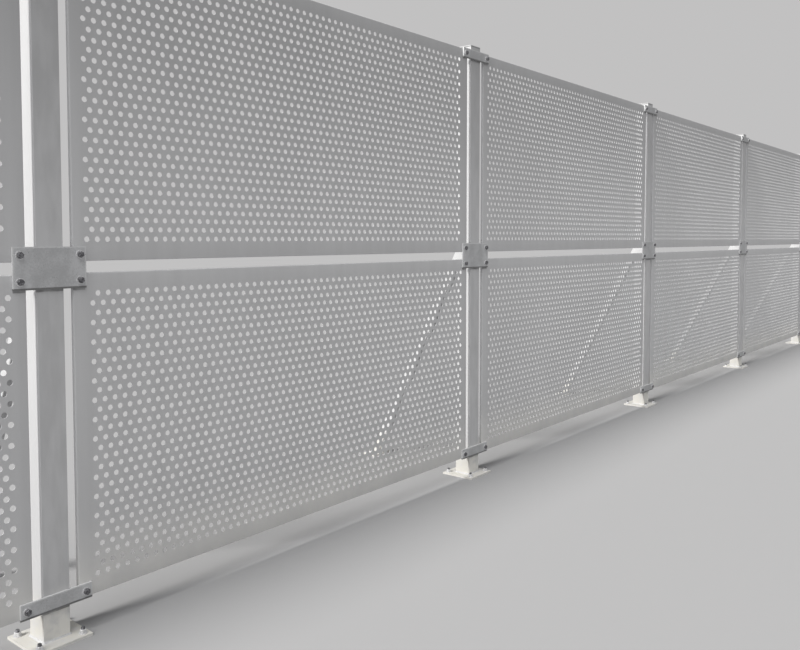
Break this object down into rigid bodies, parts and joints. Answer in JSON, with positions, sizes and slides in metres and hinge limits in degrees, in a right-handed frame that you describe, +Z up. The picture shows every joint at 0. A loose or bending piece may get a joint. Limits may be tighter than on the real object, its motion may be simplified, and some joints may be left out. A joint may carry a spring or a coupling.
{
  "type": "perforated site hoarding",
  "caption": "Run of site hoarding: perforated folded sheet panels in two rows, bolted to tab plates across square posts that stand on base plates with sloping back stays.",
  "frame": {"origin": "on the ground, under the centre of the first post's base plate", "axes": "+X along the fence, -Y towards the street side, +Y towards the stays, +Z up"},
  "size_m": [10.894, 0.715, 2.08],
  "materials": {
    "panel_paint": "satin light grey powder coat",
    "post_paint": "satin light grey powder coat",
    "tab_paint": "thin grey paint over galvanised plate, mottled",
    "bolt_zinc": "weathered zinc"
  },
  "bodies": {
    "root": {"post_1": "post_paint", "base_plate_1": "post_paint", "back_stay_1": "post_paint", "stay_foot_1": "post_paint", "post_2": "post_paint", "base_plate_2": "post_paint", "back_stay_2": "post_paint", "stay_foot_2": "post_paint", "post_3": "post_paint", "base_plate_3": "post_paint", "back_stay_3": "post_paint", "stay_foot_3": "post_paint", "post_4": "post_paint", "base_plate_4": "post_paint", "back_stay_4": "post_paint", "stay_foot_4": "post_paint", "post_5": "post_paint", "base_plate_5": "post_paint", "back_stay_5": "post_paint", "stay_foot_5": "post_paint", "post_6": "post_paint", "base_plate_6": "post_paint", "back_stay_6": "post_paint", "stay_foot_6": "post_paint", "lower_panel_1": "panel_paint", "upper_panel_1": "panel_paint", "lower_panel_2": "panel_paint", "upper_panel_2": "panel_paint", "lower_panel_3": "panel_paint", "upper_panel_3": "panel_paint", "lower_panel_4": "panel_paint", "upper_panel_4": "panel_paint", "lower_panel_5": "panel_paint", "upper_panel_5": "panel_paint", "post_caps": "post_paint", "bottom_tabs": "tab_paint", "middle_tabs": "tab_paint", "top_tabs": "tab_paint"}
  },
  "joints": []
}
